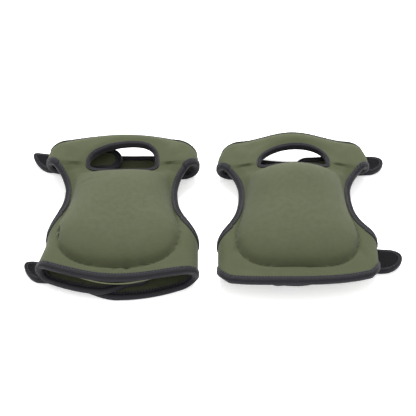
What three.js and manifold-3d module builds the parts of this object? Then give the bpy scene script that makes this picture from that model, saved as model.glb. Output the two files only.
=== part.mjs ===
// A pair of wrap-round garden knee pads lying on their backs, cushions up.
// Each pad is a bound neoprene sleeve: a padded front with an aperture over the kneecap, two short wings
// that fold under on one side, and two long wings that fold under from the other side, pass below the short
// ones and end in hook tabs. Millimetres, +Z up, X across the legs, +Y towards the thigh. The right pad is
// the pattern and the left pad is its mirror image, with its own slack.
import * as THREE from "three";
import Module from "manifold-3d";
import { mergeVertices } from "three/addons/utils/BufferGeometryUtils.js";

const wasm = await Module();
wasm.setup();

// ---- Driving dimensions ----

const HALF_WIDTH = 89; // centre line to the outside of a side fold
const PAD_SPACE = 22; // between the side folds of the two pads
const PAD_PITCH = 2 * HALF_WIDTH + PAD_SPACE;
const SHOULDER_Y = 72; // the folds draw in from here up
const SHOULDER_CUT = 22; // by this much at the upper edge
const TUCK_FROM = -110; // where a tucked lower fold begins to draw in
const TUCK_TO = -60; // and where it is tucked all the way
const GAP = 0.4; // clearance between pieces that touch on the real pad
const SOLVING_STEPS = 12; // rounds of each search by repetition
const SEAM_GAP = 1; // between a panel's edge and its tape, more because both curve

// Sandwich of the sleeve.
const COVER = 2.5; // outer neoprene
const LINING = 2.2; // leg-side neoprene
const SHEET = COVER + GAP + LINING; // a wing, and the front away from the cushion
const TAPE = 1.3; // how far the binding tape stands proud of the sheet
const BINDING_WIDTH = 6; // how far the tape reaches in from the edge
const BINDING_NOSE = 2; // how far the folded tape stands out past the edge
const HOOK = 1.2; // thickness of hook tape
const LOOP = 1.2; // thickness of loop tape

// Outline of the front, along the leg.
const HEM_RISE_LONG = 8; // how much it rises at the fold of the long wings
const HEM_RISE_SHORT = 17; // and at the fold of the short wings
const TOP_Y = 114; // upper edge on the centre line
const WAIST_Y = 20; // narrowest place
const WAIST_CUT = 26; // how far the knee cut-outs reach in from the side folds there
const WAIST_HALF = HALF_WIDTH - WAIST_CUT;
const CUT_DEPTH = 44; // depth of the knee cut-out, measured across the cloth
const CUT_UP = 47; // its reach towards the thigh
const CUT_DOWN = 78; // its reach towards the shin

// Kneecap aperture, a D with its flat side down.
const APERTURE_Y = 59;
const APERTURE_HALF = 39.5;
const APERTURE_UP = 28;
const APERTURE_DOWN = 9;
const ARCH_SQUARENESS = 2.2; // of the aperture above its widest line, where 2 is an ellipse
const SILL_SQUARENESS = 3.4; // and below it

// Cushion.
const PILLOW_TOP = 48;
const PILLOW_BOTTOM = -104;
const PILLOW_HALF = 70; // half width halfway along
const PILLOW_EDGE = 4; // from the knee cut-out to the cushion
const PILLOW_RISE = 21; // how far it stands out of the cover
const PILLOW_INSIDE = 6; // how far it stands into the sleeve
const UPPER_SQUARENESS = 5; // of its upper half, where 2 is an ellipse
const LOWER_SQUARENESS = 3.4; // and of its lower half
const PILLOW_FLATNESS = 4; // how flat its top is, up to its rounded edge
const PILLOW_ROUNDING = 0.75; // 0.5 is a domed edge, 1 a soft one
const TOP_ROUNDING = 1.2;
const CREST_Y = 28; // the sleeve stands highest here, under the cushion
const CURL_REACH = 17; // the upper edge curls away over this length
const FOAM_SHARE = 0.9; // the foams stop short of the cushion's seam
const FIRM_SHARE = 0.6; // of the foam's thickness is firm EVA, on the ground side

// Edges of the wings under the pad.
const LOWER_LIP_RISE = 24; // how much the outer edge of the lower wings rises towards the side folds
const UPPER_LIP_Y = 104; // outer edge of the upper wings on the centre line
const UPPER_LIP_DROP = 11;
const SUNK_HALF = 84; // half width of the dip of the upper wings under the aperture
const FOLD_TURN = THREE.MathUtils.degToRad(150); // how far round the bend a fold panel reaches
const SHOULDER_FADE = 50; // length over which a wing straightens after a drawn-in fold

// Ends of the wings, x from the centre line towards the tab side, and half their height along the leg.
const LONG_END = 87;
const UPPER_SHORT_END = { x: 4, half: 17 };
const LOWER_SHORT_END = { x: -38, middle: -92, half: 19 };
const SHORT_CAP = 15; // length of the rounded end of a short wing
const LONG_CAP = 5;
const SHORT_NARROWS = 60; // a short wing narrows over this length, and a long one over all of its tab side

// Hook tabs, beyond the long wings' ends.
const TAB_START = 91;
const TAB_BEND = 27; // a tab has risen by its full rise this far beyond its start
const UPPER_TAB_HALF = 13;
const TAB_EASE = 5; // a tab turns off its line over this length
const TAB_THICKNESS = 4;
const HOOK_STRIP_START = 44;
const STRIP_MARGIN = 3; // from hook or loop tape to the binding
const LOOP_PATCH = 46; // length of a loop patch
const LOOP_PATCH_END = 68; // its end nearer the side fold

// How the slack cloth of each pad lies. Heights of its outer face: at the hem, the cushion's middle and
// crest, the aperture's sill and arch, and the upper edge before it curls away; how far it curls there on the
// centre line and at the folds; how far the aperture's arch is pulled sideways; the heights of the side folds
// and the waist. Places along the leg: of the hem and the lower wings' outer edge on the centre line, and of
// the two tabs' middles. Then how far the sleeve leans to the long side, how far the lower short fold is
// tucked in, where the tabs end and how far their tips rise, how much the upper edge drops at the side folds,
// how far the upper wings sink under the aperture, the middle of the upper short wing's end, half the lower
// tab's height, how the two tabs turn off their line, and how much they taper.
const RIGHT_FORM = {
  hem: 33,
  middle: 40,
  crest: 47,
  sill: 46,
  arch: 39,
  top: 41,
  curl: 13,
  foldCurl: 6,
  archShift: 6,
  fold: 29,
  waist: 23,
  hemY: -126,
  lipY: -104,
  upperTab: 86,
  lowerTab: -70,
  lean: 0,
  tuck: 0,
  upperTabEnd: 112,
  lowerTabEnd: 120,
  tabRise: 8,
  topDrop: 12,
  sink: 16,
  shortEnd: 70,
  lowerTabHalf: 16,
  upperTabTurn: 0.05,
  lowerTabTurn: -0.1,
  tabTaper: 0.15,
};
const LEFT_FORM = {
  hem: 32,
  middle: 36,
  crest: 35.5,
  sill: 35,
  arch: 42,
  top: 39,
  curl: 18,
  foldCurl: 7,
  archShift: -11,
  fold: 38,
  waist: 26,
  hemY: -121,
  lipY: -125,
  upperTab: 90,
  lowerTab: -87,
  lean: 0.2,
  tuck: 9,
  upperTabEnd: 112,
  lowerTabEnd: 108,
  tabRise: 17,
  topDrop: 22,
  sink: 6,
  shortEnd: 86,
  lowerTabHalf: 13,
  upperTabTurn: 0.3,
  lowerTabTurn: 0.4,
  tabTaper: 0.3,
};
// Heights at which the outer face of a wing lies: the long wing on its tape, the short one on top of it.
const LONG_LIFT = TAPE;
const SHORT_LIFT = LONG_LIFT + SHEET + TAPE + GAP + TAPE;

// ---- Materials ----
const fabric = (name, colour, roughness) =>
  new THREE.MeshStandardMaterial({ name, color: colour, roughness, metalness: 0 });
const OLIVE = fabric("olive_neoprene", 0x6f7659, 0.85);
const LINING_GREEN = fabric("lining_neoprene", 0x5c6346, 0.88);
const BINDING_GREY = fabric("binding_tape", 0x34323d, 0.75);
const HOOK_BLACK = fabric("hook_tape", 0x14151a, 0.95);
const LOOP_BLACK = fabric("loop_tape", 0x23242a, 0.98);
const FIRM_FOAM = fabric("firm_foam", 0x2b2c2e, 0.9);
const SOFT_FOAM = fabric("memory_foam", 0xe4dcc2, 0.9);

// ---- Small helpers ----
const { lerp, clamp } = THREE.MathUtils;
const range = (n, f) => Array.from({ length: n + 1 }, (_, i) => f(i / n, i));
const unit = (v, a, b) => clamp((v - a) / (b - a), 0, 1);
const signedPower = (q, power) => Math.sign(q) * Math.abs(q) ** power;
const bump = (q) => (Math.abs(q) < 1 ? (1 - q * q) ** 2 : 0);

const smooth = (t) => t * t * (3 - 2 * t);

// A smooth curve through [place, height] pairs, level at each.
function profile(y, knots) {
  const i = clamp(knots.findIndex(([at]) => at > y) - 1, 0, knots.length - 2);
  const last = y >= knots.at(-1)[0];
  const [a, b] = last ? knots.slice(-2) : [knots[i], knots[i + 1]];
  const t = unit(y, a[0], b[0]);
  return lerp(a[1], b[1], smooth(t));
}

// A closed solid from points and triangles, turned right side out.
function solid(points, triangles) {
  const volume = triangles.reduce((sum, [a, b, c]) => {
    const [p, q, r] = [a, b, c].map((i) => new THREE.Vector3(...points[i]));
    return sum + p.dot(q.cross(r));
  }, 0);
  const faces = volume < 0 ? triangles.map(([a, b, c]) => [a, c, b]) : triangles;
  const geometry = new THREE.BufferGeometry();
  geometry.setAttribute("position", new THREE.Float32BufferAttribute(points.flat(), 3));
  geometry.setIndex(faces.flat());
  geometry.computeVertexNormals();
  return geometry;
}

const quad = (a, b, c, d) => [
  [a, b, c],
  [a, c, d],
];

// A sheet from a grid: rows[i][j] = { outer, inner } points. Its rim joins the two faces.
function sheet(rows) {
  const n = rows.length;
  const m = rows[0].length;
  const points = rows.flatMap((row) => row.flatMap(({ outer, inner }) => [outer, inner]));
  const at = (i, j, side) => 2 * (i * m + j) + side;
  const triangles = [];
  for (let i = 0; i + 1 < n; i++)
    for (let j = 0; j + 1 < m; j++) {
      triangles.push(...quad(at(i, j, 0), at(i + 1, j, 0), at(i + 1, j + 1, 0), at(i, j + 1, 0)));
      triangles.push(...quad(at(i, j, 1), at(i, j + 1, 1), at(i + 1, j + 1, 1), at(i + 1, j, 1)));
    }
  const rim = [
    ...range(n - 1, (_, i) => [i, 0]),
    ...range(m - 1, (_, j) => [n - 1, j]).slice(1),
    ...range(n - 1, (_, i) => [n - 1 - i, m - 1]).slice(1),
    ...range(m - 1, (_, j) => [0, m - 1 - j]).slice(1, -1),
  ];
  rim.forEach(([i, j], k) => {
    const [p, q] = rim[(k + 1) % rim.length];
    triangles.push(...quad(at(i, j, 0), at(i, j, 1), at(p, q, 1), at(p, q, 0)));
  });
  return solid(points, triangles);
}

// A bar with the same section all along: rings[i] = its points. An open bar gets flat ends.
function bar(rings, closed) {
  const m = rings[0].length;
  const at = (i, j) => (i % rings.length) * m + (j % m);
  const triangles = [];
  const last = closed ? rings.length : rings.length - 1;
  for (let i = 0; i < last; i++)
    for (let j = 0; j < m; j++)
      triangles.push(...quad(at(i, j), at(i, j + 1), at(i + 1, j + 1), at(i + 1, j)));
  if (!closed)
    for (let j = 1; j + 1 < m; j++)
      triangles.push([at(0, 0), at(0, j + 1), at(0, j)], [at(last, 0), at(last, j), at(last, j + 1)]);
  return solid(rings.flat(), triangles);
}

// ---- The flat pattern: u runs across the cloth from the centre line, v along the leg ----
const sideShare = (u) => Math.min(1, (u / HALF_WIDTH) ** 2);

// The knee cut-out is half an ellipse that runs on into straight wing edges.
const CUT_CENTRE = WAIST_HALF + CUT_DEPTH;
function cutHalf(v, inset) {
  const reach = (v > WAIST_Y ? CUT_UP : CUT_DOWN) + inset;
  const q = (v - WAIST_Y) / reach;
  return Math.abs(q) < 1 ? CUT_CENTRE - (CUT_DEPTH + inset) * Math.sqrt(1 - q * q) : Infinity;
}
function cutPoint(angle) {
  const reach = angle > 0 ? CUT_UP : CUT_DOWN;
  return [CUT_CENTRE - CUT_DEPTH * Math.cos(angle), WAIST_Y + reach * Math.sin(angle)];
}

// The inner edge of a wing, next to the knee cut-out.
function innerEdge(upper, u) {
  const q = clamp((CUT_CENTRE - Math.abs(u)) / CUT_DEPTH, 0, 1);
  const reach = Math.sqrt(1 - q * q);
  return upper ? WAIST_Y + CUT_UP * reach : WAIST_Y - CUT_DOWN * reach;
}

// A point of the aperture's edge, moved outwards by `out`. Its arch is highest `shift` off the centre line.
function aperturePoint(turn, out, shift) {
  const [c, s] = [Math.cos(turn), Math.sin(turn)];
  const [reach, squareness] = s > 0 ? [APERTURE_UP, ARCH_SQUARENESS] : [APERTURE_DOWN, SILL_SQUARENESS];
  const x = (APERTURE_HALF + out) * signedPower(c, 2 / squareness) + shift * Math.max(0, s) ** 2;
  return [x, APERTURE_Y + (reach + out) * signedPower(s, 2 / squareness)];
}

// Cushion: 0 in its middle and 1 on its seam.
const PILLOW_Y = (PILLOW_TOP + PILLOW_BOTTOM) / 2;
const PILLOW_REACH = (PILLOW_TOP - PILLOW_BOTTOM) / 2;
// Its half width, which gives way smoothly to the knee cut-outs.
function pillowHalf(y) {
  const sharpness = 8;
  const room = cutHalf(y, PILLOW_EDGE);
  return (PILLOW_HALF ** -sharpness + room ** -sharpness) ** (-1 / sharpness);
}
const squareness = (above) => (above ? UPPER_SQUARENESS : LOWER_SQUARENESS);
function pillowShare(x, y) {
  const e = squareness(y > PILLOW_Y);
  return (Math.abs(x / pillowHalf(y)) ** e + Math.abs((y - PILLOW_Y) / PILLOW_REACH) ** e) ** (1 / e);
}
function pillowPoint(share, turn) {
  const power = 2 / squareness(Math.sin(turn) > 0);
  const y = PILLOW_Y + PILLOW_REACH * share * signedPower(Math.sin(turn), power);
  return [pillowHalf(y) * share * signedPower(Math.cos(turn), power), y];
}
function fullness(x, y) {
  const rounding = lerp(PILLOW_ROUNDING, TOP_ROUNDING, unit(y, PILLOW_Y, PILLOW_TOP));
  return (1 - Math.min(1, pillowShare(x, y)) ** PILLOW_FLATNESS) ** rounding;
}

// ---- The form: how the flat pattern lies in space ----
function makeForm(form) {
  const hemEdge = (u) => form.hemY + (u < 0 ? HEM_RISE_LONG : HEM_RISE_SHORT) * sideShare(u);
  const topEdge = (u) => TOP_Y - form.topDrop * sideShare(u);
  const frontEdge = (upper) => (upper ? topEdge : hemEdge);
  // How far the upper wings lie lower under the aperture.
  const sunk = (x) => form.sink * bump(x / SUNK_HALF);
  // The outer edge of a wing under the pad.
  const lipEdge = (upper, x) =>
    upper
      ? UPPER_LIP_Y - UPPER_LIP_DROP * sideShare(x) - sunk(x)
      : form.lipY + LOWER_LIP_RISE * sideShare(x);

  const centre = (y) =>
    profile(y, [
      [form.hemY, form.hem],
      [PILLOW_Y, form.middle],
      [CREST_Y, form.crest],
      [APERTURE_Y - APERTURE_DOWN, form.sill],
      [APERTURE_Y + APERTURE_UP, form.arch],
      [TOP_Y, form.top],
    ]);
  const foldHeight = (y) => {
    const reach = y > WAIST_Y ? CUT_UP : CUT_DOWN;
    return form.fold - (form.fold - form.waist) * bump((y - WAIST_Y) / reach);
  };
  const liftOf = (long) => (long ? LONG_LIFT : SHORT_LIFT);
  const radius = (long, y) => (foldHeight(y) - liftOf(long)) / 2;
  const tucked = (y) => (y < WAIST_Y ? form.tuck * smooth(unit(y, TUCK_FROM, TUCK_TO)) : 0);
  const halfWidth = (long, y) =>
    HALF_WIDTH - SHOULDER_CUT * unit(y, SHOULDER_Y, TOP_Y) ** 2 - (long ? 0 : tucked(y));
  const foldStart = (long, y) => halfWidth(long, y) - radius(long, y);
  // Where an edge of the cloth crosses the start of a fold, measured across the cloth.
  const crossing = (long, edge) => {
    let u = HALF_WIDTH;
    for (let k = 0; k < SOLVING_STEPS; k++) u = foldStart(long, edge(long ? -u : u));
    return u;
  };
  // Where the bend of a full-width wing begins and ends across the cloth.
  const bendRadius = (long) => (form.fold - liftOf(long)) / 2;
  const bendStart = (long) => HALF_WIDTH - bendRadius(long);
  const bendEnd = (long) => bendStart(long) + Math.PI * bendRadius(long);

  // The upper edge curls away, less so at the folds.
  const curl = (u, v) => {
    const share = sideShare(u);
    const depth = lerp(form.curl, form.foldCurl, bump(1 - share));
    return depth * unit(v + form.topDrop * share, TOP_Y - CURL_REACH, TOP_Y + BINDING_NOSE) ** 2;
  };
  // Height of the sleeve's outer face without the cushion, and with it.
  const base = (x, y) => {
    const edge = foldHeight(y);
    const q = clamp(x / foldStart(x < 0, y), -1, 1);
    const lean = form.lean * unit(y, PILLOW_Y, APERTURE_Y);
    return edge + (centre(y) - edge) * bump(q + lean * (1 - q * q)) - curl(x, y);
  };
  const crown = (x, y) => base(x, y) + PILLOW_RISE * fullness(x, y);

  // A tab curls up from its root.
  const tabRaise = (x) => form.tabRise * (Math.max(0, x - TAB_START) / TAB_BEND) ** 2;

  // A point of the cloth, `depth` below its outer face. The long wings are on the negative side of u.
  const at = (u, v, depth) => {
    const side = Math.sign(u) || 1;
    const long = side < 0;
    const r = radius(long, v);
    const start = foldStart(long, v);
    if (Math.abs(u) <= start) return [u, v, crown(u, v) - depth];
    const lift = liftOf(long);
    const past = Math.abs(u) - bendEnd(long);
    if (past <= 0) {
      const turn = Math.PI * unit(Math.abs(u), start, bendEnd(long));
      const rise = r + (r - depth) * Math.cos(turn);
      const curled = curl(start, v) * smooth(unit(rise, SHEET + TAPE, 2 * r - SHEET - TAPE));
      return [side * (start + (r - depth) * Math.sin(turn)), v, lift + rise - curled];
    }
    const drawn = (start - bendStart(long)) * (1 - smooth(unit(past, 0, SHOULDER_FADE)));
    const x = side * (bendStart(long) - past + drawn);
    return [x, v, lift + depth + (long ? tabRaise(x) : 0)];
  };
  // Across the cloth to the place under the pad that lies at x, and back again.
  const under = (long, x) => bendEnd(long) + bendStart(long) + (long ? x : -x);
  const placeOf = (long, u) => (u - bendEnd(long) - bendStart(long)) * (long ? 1 : -1);
  return {
    ...form,
    ...{ frontEdge, lipEdge, base, crown, at, sunk },
    ...{ foldStart, crossing, bendRadius, bendStart, bendEnd, under, placeOf },
  };
}

// ---- Binding: a folded tape along a path of [u, v] points with the panel on its left ----
const BINDING_SECTION = [
  [-BINDING_WIDTH, -TAPE],
  [0.3 * BINDING_NOSE, -TAPE],
  [BINDING_NOSE, 0.25 * SHEET],
  [BINDING_NOSE, 0.75 * SHEET],
  [0.3 * BINDING_NOSE, SHEET + TAPE],
  [-BINDING_WIDTH, SHEET + TAPE],
];
// For each point of the path, a function from the distance out of the panel's edge to the place there. The
// ends of an open path are cut along the leg.
function framed(path, closed = false) {
  const n = path.length;
  return path.map(([u, v], i) => {
    const before = closed ? path[(i + n - 1) % n] : path[Math.max(i - 1, 0)];
    const after = closed ? path[(i + 1) % n] : path[Math.min(i + 1, n - 1)];
    const along = new THREE.Vector2(after[0] - before[0], after[1] - before[1]).normalize();
    if (before === path[i] || after === path[i]) along.set(Math.sign(along.x), 0);
    return (out) => [u + out * along.y, v - out * along.x];
  });
}
function binding(form, path, closed = false, fit = (place) => place) {
  const rings = framed(path, closed).map((place) =>
    BINDING_SECTION.map(([out, depth]) => form.at(...fit(place(out)), depth)),
  );
  return bar(rings, closed);
}
const PANEL_INSET = BINDING_WIDTH + SEAM_GAP;

// ---- Front panel ----
const FRONT_COLUMNS = 10;
const FRONT_ROWS = 14;

// The grid over the front, inset from the edge, with the height of each face from `faces`. Every layer of the
// front uses it, so their facets lie parallel.
function frontLayer(form, faces) {
  const inset = PANEL_INSET;
  const low = (x) => form.frontEdge(false)(x) + inset;
  const high = (x) => form.frontEdge(true)(x) - inset;
  const halfAt = (side, along) => {
    let half = WAIST_HALF;
    for (let k = 0; k < SOLVING_STEPS; k++) {
      const v = lerp(low(side * half), high(side * half), along);
      half = lerp(half, Math.min(form.foldStart(side < 0, v) - GAP, cutHalf(v, inset)), 0.7);
    }
    return half;
  };
  const grid = range(FRONT_ROWS, (along) =>
    range(FRONT_COLUMNS, (across) => {
      const side = 2 * across - 1;
      const x = side * halfAt(side, along);
      const y = lerp(low(x), high(x), along);
      const [outer, inner] = faces(x, y);
      return { outer: [x, y, outer], inner: [x, y, inner] };
    }),
  );
  return sheet(grid);
}

const liningTop = (form, x, y) => form.base(x, y) - COVER - GAP - PILLOW_INSIDE * fullness(x, y);

// A vertical prism over a closed outline of [x, y] points.
function prism(outline) {
  const shape = new THREE.Shape(outline.map(([x, y]) => new THREE.Vector2(x, y)));
  return new THREE.ExtrudeGeometry(shape, { depth: 2 * HALF_WIDTH, bevelEnabled: false });
}
const ring = (steps, f) => range(steps, (t) => f(2 * Math.PI * t)).slice(0, -1);

// Cuts the kneecap aperture, out to the edge of its tape, through a panel.
function withAperture(form, geometry) {
  const outline = ring(APERTURE_STEPS, (turn) => aperturePoint(turn, PANEL_INSET, form.archShift));
  return fromManifold(toManifold(geometry).subtract(toManifold(prism(outline))));
}

function toManifold(geometry) {
  const bare = geometry.index ? geometry.toNonIndexed() : geometry.clone();
  const only = new THREE.BufferGeometry().setAttribute("position", bare.getAttribute("position"));
  const merged = mergeVertices(only, 1e-4);
  return new wasm.Manifold(
    new wasm.Mesh({
      numProp: 3,
      vertProperties: merged.attributes.position.array,
      triVerts: new Uint32Array(merged.index.array),
    }),
  );
}

function fromManifold(made) {
  const mesh = made.getMesh();
  const geometry = new THREE.BufferGeometry();
  geometry.setAttribute("position", new THREE.BufferAttribute(mesh.vertProperties, 3));
  geometry.setIndex(new THREE.BufferAttribute(mesh.triVerts, 1));
  geometry.computeVertexNormals();
  return geometry;
}

const APERTURE_STEPS = 28;
const FOAM_STEPS = 32;
// Where the cushion is thin, its gaps are these shares of the space that is left.
const LEAST_FOAM_GAP = 0.35;
const LEAST_FOAM_SEAM = 0.1;
const cover = (form) =>
  withAperture(form, frontLayer(form, (x, y) => [form.crown(x, y), form.crown(x, y) - COVER]));
const lining = (form) =>
  withAperture(form, frontLayer(form, (x, y) => [liningTop(form, x, y), liningTop(form, x, y) - LINING]));

// A layer of the cushion between two shares of the foam's thickness, counted from the leg side.
function foam(form, low, high) {
  const layer = frontLayer(form, (x, y) => {
    const floor = liningTop(form, x, y);
    const space = form.crown(x, y) - COVER - floor;
    const gap = Math.min(GAP, LEAST_FOAM_GAP * space);
    const thickness = space - 2 * gap;
    const seam = Math.min(gap, LEAST_FOAM_SEAM * thickness) / 2;
    return [
      floor + gap + thickness * high - (high < 1 ? seam : 0),
      floor + gap + thickness * low + (low > 0 ? seam : 0),
    ];
  });
  const outline = ring(FOAM_STEPS, (turn) => pillowPoint(FOAM_SHARE, turn));
  return fromManifold(toManifold(layer).intersect(toManifold(prism(outline))));
}

// ---- Bindings of the front ----
const EDGE_STEPS = 12;
const withinFront = (form) => ([u, v]) => {
  const most = form.foldStart(u < 0, v) - GAP;
  return [clamp(u, -most, most), v];
};
function frontEdgeBinding(form, upper) {
  const edge = form.frontEdge(upper);
  const [from, to] = [GAP - form.crossing(true, edge), form.crossing(false, edge) - GAP];
  const path = range(EDGE_STEPS, (t) => lerp(from, to, t)).map((u) => [u, edge(u)]);
  return binding(form, upper ? path.reverse() : path, false, withinFront(form));
}

// The waist tape runs round the knee cut-out between the two folds of its side.
function waistBinding(form, side) {
  const limit = (upper) => {
    const u = form.crossing(side < 0, (place) => innerEdge(upper, place)) - GAP;
    return (upper ? 1 : -1) * Math.acos((CUT_CENTRE - u) / CUT_DEPTH);
  };
  const [from, to] = [limit(false), limit(true)];
  const path = range(EDGE_STEPS, (t) => cutPoint(lerp(from, to, t))).map(([u, v]) => [side * u, v]);
  return binding(form, side > 0 ? path : path.reverse(), false, withinFront(form));
}

// ---- Wings ----
// A wing is a band of cloth from `start` to `finish` in u, with a rounded end of length `cap`.
function wing(form, upper, long) {
  const side = long ? -1 : 1;
  const tab = upper
    ? { x: LONG_END, middle: form.upperTab, half: UPPER_TAB_HALF }
    : { x: LONG_END, middle: form.lowerTab, half: form.lowerTabHalf };
  const shortEnd = upper ? { ...UPPER_SHORT_END, middle: form.shortEnd } : LOWER_SHORT_END;
  const end = long ? tab : shortEnd;
  const start = form.bendStart(long) + form.bendRadius(long) * FOLD_TURN + GAP;
  const finish = form.under(long, end.x);
  const cap = long ? LONG_CAP : SHORT_CAP;
  const out = upper ? 1 : -1;
  const narrows = form.under(long, long ? 0 : end.x + SHORT_NARROWS);
  const edges = (u) => {
    const onFront = form.frontEdge(upper)(side * Math.min(u, HALF_WIDTH));
    const onFloor = form.lipEdge(upper, form.placeOf(long, u));
    const turned = smooth(unit(u, form.bendStart(long), form.bendEnd(long)));
    const outer = lerp(onFront, onFloor, turned);
    const dip = upper ? form.sunk(form.placeOf(long, u)) * turned : 0;
    const narrow = smooth(unit(u, narrows, finish - cap));
    return [
      lerp(innerEdge(upper, u) - dip, end.middle - out * end.half, narrow),
      lerp(outer, end.middle + out * end.half, narrow),
    ];
  };
  return { side, start, finish, cap, squareness: long ? 4 : 2, edges };
}

// The edge of a wing: from its bend along one side, round the end and back to the bend, panel on the left.
const WING_STEPS = 7;
const CAP_STEPS = 4;
const roundEnded = (w) => w.cap > PANEL_INSET;
function wingPath(w) {
  const straightEnd = w.finish - Math.max(w.cap, PANEL_INSET);
  const straight = range(WING_STEPS, (t) => lerp(w.start, straightEnd, t));
  const [inner, outer] = w.edges(w.finish - w.cap);
  const power = 2 / w.squareness;
  const round = range(2 * CAP_STEPS, (t) => {
    const angle = Math.PI * (0.5 - t);
    const v = (inner + outer) / 2 + ((outer - inner) / 2) * signedPower(Math.sin(angle), power);
    return [w.finish - w.cap + w.cap * signedPower(Math.cos(angle), power), v];
  });
  const path = [
    ...straight.map((u) => [u, w.edges(u)[1]]),
    ...(roundEnded(w) ? round.slice(1, -1) : round),
    ...straight.reverse().map((u) => [u, w.edges(u)[0]]),
  ].map(([u, v]) => [w.side * u, v]);
  return (outer - inner) * w.side > 0 ? path.reverse() : path;
}

function wingPanel(form, w) {
  const places = framed(wingPath(w));
  const count = roundEnded(w) ? Math.floor(places.length / 2) : WING_STEPS + 1;
  const rows = places.slice(0, count).map((place, i) =>
    [place, places.at(-1 - i)].map((edge) => {
      const [u, v] = edge(-PANEL_INSET);
      return { outer: form.at(u, v, 0), inner: form.at(u, v, SHEET) };
    }),
  );
  return sheet(rows);
}

// A fold panel is the soft bend between the front and a wing, with its two edges bound.
const FOLD_STEPS = 6;
const FOLD_COLUMNS = 4;
function foldPanel(form, upper, long) {
  const w = wing(form, upper, long);
  const innerStart = form.crossing(long, (u) => innerEdge(upper, u));
  const outerStart = form.crossing(long, form.frontEdge(upper));
  const rows = range(FOLD_STEPS, (t) => {
    const inner = w.edges(lerp(innerStart, w.start, t))[0];
    const outer = w.edges(lerp(outerStart, w.start, t))[1];
    const out = Math.sign(outer - inner);
    const reach = out * (BINDING_WIDTH + TAPE);
    const columns = [
      [inner - out * BINDING_NOSE, TAPE],
      [inner + out * BINDING_WIDTH, TAPE],
      ...range(FOLD_COLUMNS, (c) => [lerp(inner + reach, outer - reach, c), 0]),
      [outer - out * BINDING_WIDTH, TAPE],
      [outer + out * BINDING_NOSE, TAPE],
    ];
    return columns.map(([v, proud]) => {
      const u = lerp(form.foldStart(long, v) + GAP, w.start - 2 * SEAM_GAP, t);
      return { outer: form.at(w.side * u, v, -proud), inner: form.at(w.side * u, v, SHEET + proud) };
    });
  });
  return sheet(rows);
}

// ---- Tapes and tabs under the pad ----
// A flat strip between two x places, inside a wing's bindings, between two depths.
function strip(form, w, x0, x1, depths) {
  const rows = [x0, x1].map((x) => {
    const u = form.under(w.side < 0, x);
    const [inner, outer] = w.edges(Math.min(u, w.finish - w.cap));
    const out = Math.sign(outer - inner) * (PANEL_INSET + STRIP_MARGIN);
    return [inner + out, outer - out].map((v) => ({
      outer: form.at(w.side * u, v, depths[0]),
      inner: form.at(w.side * u, v, depths[1]),
    }));
  });
  return sheet(rows);
}

// A tab goes on from a long wing's end and curls up a little, with a round end.
const TAB_CAP_STEPS = 5;
const TAB_CAP_TURN = THREE.MathUtils.degToRad(78);
function tabRows(form, w, upper, inset, depths) {
  const [end, turn] = upper
    ? [form.upperTabEnd, form.upperTabTurn]
    : [form.lowerTabEnd, form.lowerTabTurn];
  const [inner, outer] = w.edges(w.finish);
  const middle = (inner + outer) / 2;
  const half = Math.abs(outer - inner) / 2 + BINDING_NOSE - inset;
  const cap = half + inset;
  const straightEnd = Math.max(TAB_START + inset + 1, end - cap);
  const xs = [TAB_START + inset, straightEnd];
  const reach = end - inset - straightEnd;
  const rounded = range(TAB_CAP_STEPS, (t) => TAB_CAP_TURN * t).slice(1);
  const rows = [
    ...xs.map((x) => [x, half]),
    ...rounded.map((a) => [straightEnd + reach * Math.sin(a), half * Math.cos(a)]),
  ];
  return rows.map(([x, h]) =>
    [-1, 1].map((s) => {
      const [outerDepth, innerDepth] = depths;
      const along = x - LONG_END;
      const narrowed = 1 - form.tabTaper * smooth(unit(x, LONG_END, end));
      const v = middle + s * h * narrowed + (turn * along ** 2) / (along + TAB_EASE);
      const u = w.side * form.under(true, x);
      return { outer: form.at(u, v, outerDepth), inner: form.at(u, v, innerDepth) };
    }),
  );
}

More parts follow.
